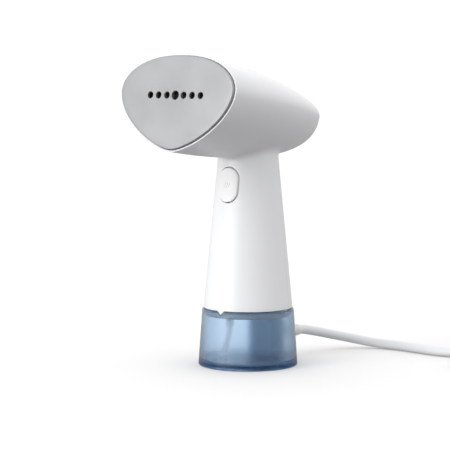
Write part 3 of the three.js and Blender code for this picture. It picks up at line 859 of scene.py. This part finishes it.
# A wound wire from start to end. Its end turns are closer together by the share closing, and each tip
# is drawn in over a short nib.
def drawSpring(name, start, end, radius, wire, turns, closing=0.4, nib=0.06):
    start, end = Vector(start), Vector(end)
    axis = (end - start).normalized()
    side = axis.cross(Vector((1, 0, 0)))
    length = (end - start).length - 2 * wire
    steps = turns * 28  # rings of the wire's section
    sections = [(0, 0), (0, wire * 0.8)] + [(step, wire) for step in range(steps + 1)]
    sections += [(steps, wire * 0.8), (steps, 0)]

    def place(angle, ring):
        step, reach = sections[ring]
        share = step / steps
        turned = 2 * math.pi * turns * share
        out = math.cos(turned) * Vector((1, 0, 0)) + math.sin(turned) * side
        climb = share - closing * math.sin(2 * math.pi * share) / (2 * math.pi)
        centre = start + axis * (wire + length * climb) + radius * out
        if ring < 2:
            centre -= nib * out.cross(axis)
        if ring > len(sections) - 3:
            centre += nib * out.cross(axis)
        return centre + reach * (math.cos(angle) * out + math.sin(angle) * axis)

    return drawTube(name, 14, len(sections), place)


buttonSpringShape = {
    "start": (0, -12.05, 133),
    "end": (0, -16.95, 133),
    "radius": 2.6,
    "wire": 0.28,
    "turns": 4,
}
buttonSpring = drawSpring("buttonSpring", **buttonSpringShape)
finishPiece(buttonSpring, "steel", "handle", ["button_spring"])
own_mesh(buttonSpring)

pumpSpringShape = {
    "start": (0, -2, 70.1),
    "end": (0, -2, 75.95),
    "radius": 2.3,
    "wire": 0.25,
    "turns": 5,
}
pumpSpring = drawSpring("pumpSpring", **pumpSpringShape)
finishPiece(pumpSpring, "steel", "handle", ["pump_spring"])
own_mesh(pumpSpring)
print("button and springs finished")


plateShape = {
    "sides": 144,
    "skin": 1.6,
    "depth": 7,
    "edge": 0.7,
    "crown": 0.35,
    "holePitch": 7.2,
    "holeRadius": 2.3,
    "middleRadius": 3,
    "chamfer": 0.3,
}


def platePoint(angle, inset, scale, out):
    use = headShape
    across, up = outlinePoint(
        angle,
        (use["plateHalfWidth"] - inset) * scale,
        (use["plateUpper"] - inset) * scale,
        (use["plateLower"] - inset) * scale,
        use["lift"],
    )
    return fromHead(across, up, out)


def makePlate(use):
    skin, depth, edge = use["skin"], use["depth"], use["edge"]
    # inset, scale, out
    stations = [(skin, 0, -skin), (skin, 1, -skin), (skin, 1, -depth), (0, 1, -depth)]
    for turn in range(6):
        angle = math.radians(18 * turn)
        stations.append((edge * (1 - math.cos(angle)), 1, -edge * (1 - math.sin(angle))))
    for scale in (0.93, 0.8, 0.6, 0.4, 0.2, 0):
        stations.append((edge, scale, use["crown"] * (1 - scale ** 2)))
    plate = drawTube(
        "steamPlate", use["sides"], len(stations), lambda angle, ring: platePoint(angle, *stations[ring]),
    )
    for hole in range(-3, 4):
        radius = use["holeRadius"] if hole else use["middleRadius"]
        top = use["crown"]
        above = top + 0.6
        profile = [(0, -4), (radius, -4), (radius, top - use["chamfer"]), (radius + 0.9, above), (0, above)]

        def place(angle, ring):
            reach, out = profile[ring]
            across = hole * use["holePitch"] + reach * math.cos(angle)
            return fromHead(across, reach * math.sin(angle), out)

        carve(plate, drawTube("holeSlug", 40, len(profile), place))
    finishPiece(plate, "plate_metal", "handle", ["steam_plate"], smooth=30)


makePlate(plateShape)
print("steam plate finished")


tankShape = {
    "height": 40.2,
    "footRadius": 35.2,
    "rimRadius": 32.4,
    "wall": 1.8,
    "floor": 3.2,
    "sides": 144,
    "edge": 0.75,
    "pocketHalfWidth": 9.8,
    "pocketFrontY": 14.4,
    "pocketFootZ": 4.4,
    "pocketWall": 1.4,
    "notchHalfWidth": 4.2,
    "notchDrop": 3.5,
}


def tankRadius(z):
    use = tankShape
    return use["footRadius"] - (use["footRadius"] - use["rimRadius"]) * (z - 1) / (use["height"] - 1)


def pocketBlock(name, grow):
    use = tankShape
    return drawBlock(
        name,
        (-use["pocketHalfWidth"] - grow, use["pocketFrontY"] - grow, use["pocketFootZ"] - grow),
        (use["pocketHalfWidth"] + grow, 60, use["height"] + 3),
        bevel=1 + grow,
        segments=4,
        only=lambda edge: (
            all(v.co.y < 0.02 for v in edge.verts) and not all(v.co.z > 0.042 for v in edge.verts)
            or all(v.co.z < 0.012 for v in edge.verts)
        ),
    )


def makeTank(use):
    rim, foot, wall, top = use["rimRadius"], use["footRadius"], use["wall"], use["height"]
    outer = [(0, 0.9), (27.5, 0.9), (28.6, 0.7), (29.4, 0.1), (30, 0)]
    for turn in range(5):  # the foot's rounded edge
        angle = math.radians(22.5 * turn)
        outer.append((foot - 1.1 + 1.1 * math.sin(angle), 1.1 - 1.1 * math.cos(angle)))
    for row in range(1, 9):
        height = 1.1 + (top - 1.1 - use["edge"]) * row / 8
        outer.append((tankRadius(height), height))
    outer += [(tankRadius(top - 0.35), top - 0.35), (rim - 0.1, top - 0.1), (rim - 0.35, top), (0, top)]
    tank = drawTurned("waterTank", outer, use["sides"])
    edge = tankRadius(use["floor"]) - wall
    hollow = [(0, use["floor"])]
    for turn in range(7):
        angle = math.radians(15 * turn)
        hollow.append((edge - 2.6 + 2.6 * math.sin(angle), use["floor"] + 2.6 * (1 - math.cos(angle))))
    mouth = rim - wall
    hollow += [(mouth, top - 0.3), (mouth + 0.25, top + 0.1), (mouth + 0.25, top + 3), (0, top + 3)]
    inside = drawTurned("tankInside", hollow, use["sides"])
    carve(inside, pocketBlock("pocketWall", use["pocketWall"]))
    carve(tank, inside)
    carve(tank, pocketBlock("pocket", 0))
    carve(tank, drawWedge("notch", use["notchHalfWidth"], 0.6, use["notchDrop"], -38, 12))
    finishPiece(tank, "tank_blue", "tank", ["water_tank"], smooth=30)
    tank.data.materials.append(finishes["tank_edge"])  # the rim's top edge is painted a deeper blue, as painted shade
    for face in tank.data.polygons:
        outside = Vector(face.center.xy).length / mm > rim - 0.6
        if face.center.z / mm > top - use["edge"] and (face.normal.z > 0.5 or outside):
            face.material_index = 1


makeTank(tankShape)
print("water tank finished")


baseShape = {
    "plateZ": 46.5,
    "plateThickness": 2.5,
    "halfWidth": 9.2,
    "frontY": 15,
    "footZ": 5,
    "wall": 1.8,
    "bevel": 1,
    "leadZ": 17.8,
    "leadHole": 4.3,
}


def spineBlock(name, use, inset, top):
    block = drawBlock(
        name,
        (-use["halfWidth"] + inset, use["frontY"] + inset, use["footZ"] + inset),
        (use["halfWidth"] - inset, 60, top),
        bevel=max(0.3, use["bevel"] - inset),
        segments=4,
        only=lambda edge: (
            all(v.co.y < 0.03 for v in edge.verts) or all(v.co.z < 0.015 for v in edge.verts)
        ),
    )
    low, high = tankRadius(0) - inset, tankRadius(70) - inset
    cone = drawTurned("tankCone", [(0, 0), (low, 0), (high, 70), (0, 70)], tankShape["sides"])
    return carve(block, cone, "INTERSECT")


def makeBase(use):
    top = use["plateZ"] + use["plateThickness"]
    spine = spineBlock("handleBase", use, 0, top)
    carve(spine, spineBlock("spineInside", use, use["wall"], top + 3))
    behind = drawBlock("behindCover", (-30, 0, handleShape["hemZ"] - 0.3), (30, 60, 70))
    carve(behind, coneSlug("coverCore", 20, 80, -handleShape["wall"] - 0.6))
    carve(spine, behind)
    foot = use["plateZ"]
    rim = handleRadius(top) - handleShape["wall"] - 0.6
    stations = [(0, foot), (rim - 0.5, foot), (rim, foot + 0.5), (rim, top), (0, top)]
    plate = drawTurned("basePlate", stations, 96)
    stations = [(0, 42.5), (6.6, 42.5), (7, 42.9), (7, top + 1), (0, top + 1)]
    boss = drawTurned("boss", stations, 64, (0, -21))
    carve(plate, boss, "UNION")
    carve(plate, drawTurned("bossBore", rod(4.4, 40, 60), 48, (0, -21)))
    carve(plate, drawBlock("wireWay", (-6, 18, 44), (6, 25, 52)))
    carve(spine, plate, "UNION")
    carve(spine, pipeAlongY("leadHole", rod(use["leadHole"], 24, 60), 0, use["leadZ"]))
    finishPiece(spine, "white_plastic", "handle", ["handle_base"])


makeBase(baseShape)
print("handle base finished")


lidShape = {
    "topZ": 37.6,
    "thickness": 2,
    "radius": 30.3,
    "beadHeight": 2,
    "fillerY": -3,
    "fillerRadius": 7.2,
    "couplingY": -21,
}


def makeLid(use):
    top, radius = use["topZ"], use["radius"]
    foot = top - use["thickness"]
    crest = top + use["beadHeight"]
    stations = [
        (0, foot), (radius - 0.5, foot), (radius, foot + 0.5), (radius, crest - 0.3), (radius - 0.3, crest),
        (radius - 1, crest), (radius - 1.4, crest - 0.3), (radius - 1.6, top + 0.1), (radius - 2, top),
        (0, top),
    ]
    lid = drawTurned("tankLid", stations, tankShape["sides"])
    carve(lid, pocketBlock("lidNotch", tankShape["pocketWall"] + 0.3))
    carve(lid, drawWedge("pointerGap", tankShape["notchHalfWidth"], 0.6, tankShape["notchDrop"], -38, 12))
    coupling = (0, use["couplingY"])
    socket = [
        (0, foot - 6), (2.6, foot - 6), (3, foot - 5.6),
        (3, foot - 0.6), (3.5, foot + 0.3), (0, foot + 0.3),
    ]
    carve(lid, drawTurned("socket", socket, 48, coupling), "UNION")
    bore = [
        (0, foot - 8), (1.2, foot - 8), (1.2, foot - 4), (2.1, foot - 4),
        (2.1, top - 0.5), (2.9, top + 0.6), (0, top + 0.6),
    ]
    carve(lid, drawTurned("socketBore", bore, 48, coupling))
    mouth = use["fillerRadius"]
    filler = [
        (0, foot - 1), (mouth + 0.3, foot - 1), (mouth + 0.3, foot), (mouth, foot + 0.4),
        (mouth, top - 0.4), (mouth + 0.5, top + 0.1), (mouth + 0.5, top + 1), (0, top + 1),
    ]
    carve(lid, drawTurned("fillerBore", filler, 72, (0, use["fillerY"])))
    finishPiece(lid, "lid", "tank", ["tank_lid"])

    mouth -= 0.3
    top += 0.3
    bung = [
        (0, foot - 0.3), (mouth - 0.7, foot - 0.3), (mouth - 0.25, foot - 0.1), (mouth, foot + 0.5),
        (mouth, top - 0.3), (mouth + 0.3, top), (mouth + 1.8, top), (mouth + 2.2, top + 0.3),
        (mouth + 2.2, top + 0.8), (mouth + 1.8, top + 1.25), (mouth + 0.8, top + 1.3),
        (mouth - 0.6, top + 0.9), (0, top + 0.8),
    ]
    stopper = drawTurned("fillStopper", bung, 72, (0, use["fillerY"]))
    tab = drawBlock(
        "stopperTab", (-3, use["fillerY"] - 1, top + 0.4), (3, use["fillerY"] + 1, top + 2.6),
        bevel=0.8,
        segments=4,
        only=lambda edge: (
            all(v.co.z > top * mm for v in edge.verts)
            and abs(edge.verts[0].co.y - edge.verts[1].co.y) < 0.1 * mm
        ),
    )
    softenEdges(carve(stopper, tab, "UNION"), 0.15, 2, 50)
    finishPiece(stopper, "grey_rubber", "stopper", ["fill_stopper"])


makeLid(lidShape)
print("tank lid and stopper finished")


# A hose of one radius along a smooth line, with its ends rounded a little.
def drawHose(name, route, radius, bore, steps=40, sides=32):
    knots = [Vector(p) for p in route]
    knots = [2 * knots[0] - knots[1]] + knots + [2 * knots[-1] - knots[-2]]
    line = []
    spans = len(knots) - 3
    for step in range(steps + 1):
        share = step / steps * spans
        first = min(spans - 1, int(share))
        t = share - first
        a, b, c, d = knots[first:first + 4]
        bend = (2 * a - 5 * b + 4 * c - d) * t * t + (3 * b - a - 3 * c + d) * t ** 3
        line.append((2 * b + (c - a) * t + bend) / 2)
    sections = [(0, bore), (0, radius - 0.2)]
    sections += [(step, radius) for step in range(1, steps)]
    sections += [(steps, radius - 0.2), (steps, bore)]
    sections += [(step, bore) for step in range(steps - 1, 0, -1)]

    def place(angle, ring):
        at, reach = sections[ring]
        ahead = (line[min(steps, at + 1)] - line[max(0, at - 1)]).normalized()
        side = ahead.cross(Vector((1, 0, 0))).normalized()
        return line[at] + reach * (math.cos(angle) * Vector((1, 0, 0)) + math.sin(angle) * side)

    return drawTube(name, sides, len(sections), place, joined=True)


dipTubeShape = {
    "route": [
        (0, -21, 29.3), (0, -21.5, 24.3), (0, -23.2, 19.6),
        (0, -25.2, 15.3), (0, -26.5, 12), (0, -27.2, 9.2),
    ],
    "radius": 2,
    "bore": 1.1,
    "filterY": -27.6,
    "filterFoot": 3.6,
    "filterTop": 8.2,
}


def makeDipTube(use):
    tube = drawHose("dipTube", use["route"], use["radius"], use["bore"])
    finishPiece(tube, "soft_tube", "tank", ["dip_tube"])
    foot, top = use["filterFoot"], use["filterTop"]
    stations = [(0, foot), (2.7, foot), (3, foot + 0.3)]
    for rib in range(4):
        height = foot + 0.9 + rib * 0.9
        outer = 3 - 0.07 * rib
        stations += [(outer, height), (outer - 0.4, height + 0.15), (outer - 0.4, height + 0.5),
                     (outer - 0.05, height + 0.65)]
    stations += [(2.5, top - 0.25), (2.2, top), (1.2, top), (1.2, foot + 1.5), (0, foot + 1.5)]
    strainer = drawTurned("intakeFilter", stations, 48, (0, use["filterY"]))
    finishPiece(strainer, "soft_tube", "tank", ["intake_filter"])


makeDipTube(dipTubeShape)
print("dip tube and filter finished")


couplingShape = {
    "y": -21,
    "nipple": [
        (0.9, 32.7), (1.1, 32.5), (1.4, 32.5), (1.8, 33.1), (1.8, 35.4), (1.5, 35.6), (1.5, 36.2),
        (1.8, 36.4), (1.8, 46.7), (4.1, 46.7), (4.1, 50.8), (3.9, 51), (2.6, 51), (2.6, 52),
        (2.35, 52.3), (2.5, 53.6), (2.2, 54), (2.3, 55.4), (2, 56), (0.9, 56),
    ],
    "seal": [
        (2.1, 38.2), (2.4, 37.9), (4.6, 37.9), (5.2, 38.3), (5.2, 38.9), (4.6, 39.4), (4.6, 39.9),
        (5.6, 40.4), (5.6, 41), (6, 41.3), (6, 42), (5.8, 42.2), (2.1, 42.2),
    ],
    "screws": (-150, -30, 60),
    "screwCircle": 21.5,
    "screwZ": 46.2,
}


def makeCoupling(use):
    nipple = drawTurned("tankCoupling", use["nipple"], 48, (0, use["y"]), joined=True)
    finishPiece(nipple, "clear_plastic", "handle", ["tank_coupling"])
    seal = drawTurned("couplingSeal", use["seal"], 64, (0, use["y"]), joined=True)
    finishPiece(seal, "silicone", "handle", ["coupling_seal"])
    top = use["screwZ"]
    stations = [(0, top - 1.6), (1.9, top - 1.6), (2.4, top - 1.45), (2.7, top - 1.1), (2.8, top - 0.6)]
    stations += [(2.8, top - 0.1), (2.7, top), (1.4, top), (0, top)]
    first = drawTurned("baseScrew", stations, 48)
    for low, high in (((-1.7, -0.3), (1.7, 0.3)), ((-0.3, -1.7), (0.3, 1.7))):  # the cross recess
        carve(first, drawBlock("recess", (*low, top - 2), (*high, top - 0.8)))
    softenEdges(first, 0.06, 1, 50)
    for number, angle in enumerate(use["screws"]):
        screw = copyPiece(first, "baseScrew%d" % (number + 1))
        turn = math.radians(angle)
        screw.location = Vector((math.cos(turn), 0.6 * math.sin(turn), 0)) * use["screwCircle"] * mm
        applyPlace(screw)
        finishPiece(screw, "steel", "handle", ["base_screw_%d" % (number + 1)])
    bpy.data.objects.remove(first)


makeCoupling(couplingShape)
print("coupling and base screws finished")


reliefShape = {
    "z": 17.8,
    "start": 35.3,
    "end": 60.5,
    "foot": 5.4,
    "tip": 4.25,
    "ribs": 9,
    "grooveDepth": 0.75,
    "bore": 3.45,
}


def makeRelief(use):
    start, end = use["start"], use["end"]
    stations = [(0, 28.3), (5.3, 28.3), (5.6, 28.6), (5.6, 30), (5.3, 30.3), (4, 30.3), (4, start)]
    stations += [(use["foot"] - 0.4, start), (use["foot"], start + 0.4)]
    pitch = (end - start - 6) / use["ribs"]
    groove = ((0, 0), (0.18, 0.12), (0.34, 0.8), (0.5, 1), (0.78, 1), (0.94, 0.8), (1.1, 0.12), (1.28, 0))
    for rib in range(use["ribs"]):
        along = start + 3.4 + rib * pitch
        for step, sunk in groove:
            here = along + step
            outer = use["foot"] + (use["tip"] - use["foot"]) * (here - start) / (end - start)
            stations.append((max(outer - use["grooveDepth"] * sunk, 3.6), here))
    stations += [(use["tip"] + 0.02, end - 0.7), (use["tip"] - 0.1, end - 0.25), (use["tip"] - 0.4, end),
                 (use["bore"] + 0.1, end), (use["bore"], end - 0.2), (use["bore"], 57), (0, 57)]
    relief = pipeAlongY("strainRelief", stations, 0, use["z"], 64)
    return finishPiece(relief, "lead_sheath", "handle", ["strain_relief"])


strainRelief = makeRelief(reliefShape)


plugShape = {
    "x": 213,
    "z": 7.2,
    # along Y, half width, half height, squareness of the section
    "sections": [
        (52, 3.46, 3.46, 2), (52.4, 3.6, 3.6, 2), (52.2, 3.9, 3.9, 2), (51, 4.05, 4.05, 2),
        (49, 4.2, 4.2, 2), (46.5, 4.35, 4.35, 2), (44, 4.6, 4.6, 2.05), (40, 5, 5, 2.2),
        (36, 5.8, 5.6, 2.5), (32.5, 7.6, 6.3, 3), (30, 10, 6.8, 3.4), (28, 12.3, 7.05, 3.8),
        (26, 13.2, 7.15, 4), (22, 13.45, 7.2, 4), (20, 13.2, 7.2, 4), (16, 13.1, 7.2, 4),
        (12, 13.4, 7.2, 4), (10, 13.5, 7.15, 4), (8.9, 13.3, 6.95, 4), (8.3, 12.8, 6.5, 4),
        (8.05, 12, 5.8, 4), (8, 11, 5, 4), (8, 10.9, 4.9, 4), (8.6, 10.6, 4.6, 4),
        (8.6, 0, 0, 4),
    ],
    "gripRibs": 6,
    "pinSpacing": 9.3,
    "pinRoot": 7.7,
    "pinLength": 19,
}


def makePlug(use):
    def place(angle, ring):
        along, wide, tall, square = use["sections"][ring]
        across = wide * signedPower(math.cos(angle), 2 / square)
        up = tall * signedPower(math.sin(angle), 2 / square)
        return Vector((use["x"] + across, along, use["z"] + up))

    plug = drawTube("plugBody", 96, len(use["sections"]), place)
    grooves = []  # finger grooves across each side, cut together so that each run gives the same mesh
    for side in (-1, 1):
        for rib in range(use["gripRibs"]):
            centre = (use["x"] + side * 13.6, 13 + rib * 2)
            grooves.append(drawTurned("gripGroove", rod(0.55, 1.6, 12.8), 16, centre))
    carve(plug, joinPieces("grooves", *grooves))
    finishPiece(plug, "lead_sheath", "handle", ["plug_body"])
    pieces = [plug]
    root = use["pinRoot"]
    tip = root - use["pinLength"]
    for number, side in enumerate((-1, 1)):
        x = use["x"] + side * use["pinSpacing"]
        bright = [(0, root + 1.4), (1.7, root + 1.4), (1.7, tip + 9.2), (1.95, tip + 9), (2, tip + 8.8)]
        for turn in range(7):
            angle = math.radians(15 * turn)
            bright.append((2 * math.cos(angle), tip + 2 - 2 * math.sin(angle)))
        pin = pipeAlongY("plugPin%d" % (number + 1), bright, x, use["z"], 40)
        finishPiece(pin, "steel", "handle", ["plug_pin_%d" % (number + 1)])
        cover = [(1.7, root + 1.2), (1.9, root + 1.2), (1.9, tip + 9.5), (1.85, tip + 9.3), (1.7, tip + 9.3)]
        sleeve = pipeAlongY("pinSleeve%d" % (number + 1), cover, x, use["z"], 40, joined=True)
        finishPiece(sleeve, "black_plastic", "handle")
        pieces += [pin, sleeve]
    return pieces


plugPieces = makePlug(plugShape)


tieShape = {
    "x": 212.5,
    "y": 98,
    "z": 8.25,
    "halfWidth": 12.3,
    "halfHeight": 7.85,
    "strap": 6,
    "thickness": 0.55,
    "squareness": 4.4,
}


# A fabric strap round the coil's turns, its end lying over its start.
def makeTie(use):
    half, thick = use["strap"], use["thickness"]
    profile = [(-half, 0), (-half, 0.7), (-half + 0.25, 1), (half - 0.25, 1), (half, 0.7), (half, 0)]

    def place(angle, ring):
        along, share = profile[ring]
        turned = math.degrees(angle) % 360
        doubled = ease(0, 1, (turned - 52) / 3) * ease(1, 0, (turned - 128) / 3)
        out = share * thick * (1 + 0.85 * doubled)
        lift = signedPower(math.sin(angle), 2 / use["squareness"])
        return Vector((
            use["x"] + (use["halfWidth"] + out) * signedPower(math.cos(angle), 2 / use["squareness"]),
            use["y"] + along,
            use["z"] + (use["halfHeight"] + (out if lift > 0 else min(out, 0.35))) * lift,
        ))

    strap = drawTube("cordTie", 120, len(profile), place, joined=True)
    return finishPiece(strap, "strap", "handle", ["cord_tie"])


cordTie = makeTie(tieShape)
print("strain relief, plug and tie finished")

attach(mainsLead, "handle")
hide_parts("cord_lead", "cord_coil", "cord_tail")
print("mains lead finished")


studio = {
    "floorSize": 30,
    "sky": [(-0.2, 0.24), (0.3, 1.04), (0.42, 1.04), (1, 0.95)],  # brightness from below to overhead
    "glow": {"side": (-0.797, 0.604, 0), "upright": 1, "from": -0.4, "to": 1, "power": 0.22},
    "softBox": {"side": (-0.33, -0.944, 0), "upright": 0.4, "from": 0.9, "to": 0.975, "power": 3.1},
    "fill": {"side": (0.96, -0.28, 0), "upright": 1, "from": 0.1, "to": 1, "power": 0.1},
    "backdrop": 1.02,
}


def makeFloor(use):
    clearSelection()
    bpy.ops.mesh.primitive_plane_add(size=use["floorSize"], location=(0, 0, -0.05 * mm))
    floor = bpy.context.active_object
    floor.name = "floor"
    paper = Finish("floorPaper", (0.88, 0.88, 0.88), 0.85)
    paper.varyRoughness(paper.noise(3, 2), 0.8, 0.95)
    floor.data.materials.append(paper.material)
    floor.visible_diffuse = False  # so the piece is lit from below by the bench alone
    floor.visible_glossy = False


# A white backdrop for the camera. The piece gets a soft sky with a glow behind it, a tall soft box
# in front and a weak fill from its right.
def makeSky(use):
    world = bpy.data.worlds.new("studio")
    world.use_nodes = True
    tree = world.node_tree
    link = tree.links.new

    def add(kind, operation):
        node = tree.nodes.new(kind)
        node.operation = operation
        return node

    toward = tree.nodes.new("ShaderNodeTexCoord").outputs["Generated"]
    parts = tree.nodes.new("ShaderNodeSeparateXYZ")
    link(toward, parts.inputs[0])
    place = tree.nodes.new("ShaderNodeMapRange")
    place.inputs["From Min"].default_value = -1
    link(parts.outputs["Z"], place.inputs["Value"])
    height = tree.nodes.new("ShaderNodeValToRGB")
    height.color_ramp.interpolation = "EASE"
    stops = height.color_ramp.elements
    stops.remove(stops[1])
    for number, (level, brightness) in enumerate(use["sky"]):
        stop = stops.new((level + 1) / 2) if number else stops[0]
        stop.position = (level + 1) / 2
        stop.color = (brightness / 2, brightness / 2, brightness / 2, 1)
    link(place.outputs["Result"], height.inputs["Fac"])
    doubled = add("ShaderNodeMath", "MULTIPLY")
    doubled.inputs[1].default_value = 2
    link(height.outputs["Color"], doubled.inputs[0])
    total = doubled.outputs["Value"]
    for light in (use["glow"], use["softBox"], use["fill"]):
        flatter = add("ShaderNodeVectorMath", "MULTIPLY")
        flatter.inputs[1].default_value = (1, 1, light["upright"])
        link(toward, flatter.inputs[0])
        unit = add("ShaderNodeVectorMath", "NORMALIZE")
        link(flatter.outputs["Vector"], unit.inputs[0])
        facing = add("ShaderNodeVectorMath", "DOT_PRODUCT")
        facing.inputs[1].default_value = Vector(light["side"]).normalized()
        link(unit.outputs["Vector"], facing.inputs[0])
        lobe = tree.nodes.new("ShaderNodeMapRange")
        lobe.interpolation_type = "SMOOTHSTEP"
        lobe.inputs["From Min"].default_value = light["from"]
        lobe.inputs["From Max"].default_value = light["to"]
        lobe.inputs["To Max"].default_value = light["power"]
        link(facing.outputs["Value"], lobe.inputs["Value"])
        adding = add("ShaderNodeMath", "ADD")
        link(total, adding.inputs[0])
        link(lobe.outputs["Result"], adding.inputs[1])
        total = adding.outputs["Value"]
    seen = tree.nodes.new("ShaderNodeMix")
    link(tree.nodes.new("ShaderNodeLightPath").outputs["Is Camera Ray"], seen.inputs["Factor"])
    link(total, seen.inputs["A"])
    seen.inputs["B"].default_value = use["backdrop"]
    link(seen.outputs["Result"], tree.nodes["Background"].inputs["Strength"])
    tree.nodes["Background"].inputs["Color"].default_value = (1, 1, 1, 1)
    bpy.context.scene.world = world


makeFloor(studio)
makeSky(studio)
bpy.context.scene.view_settings.view_transform = "Standard"
print("floor and light set")
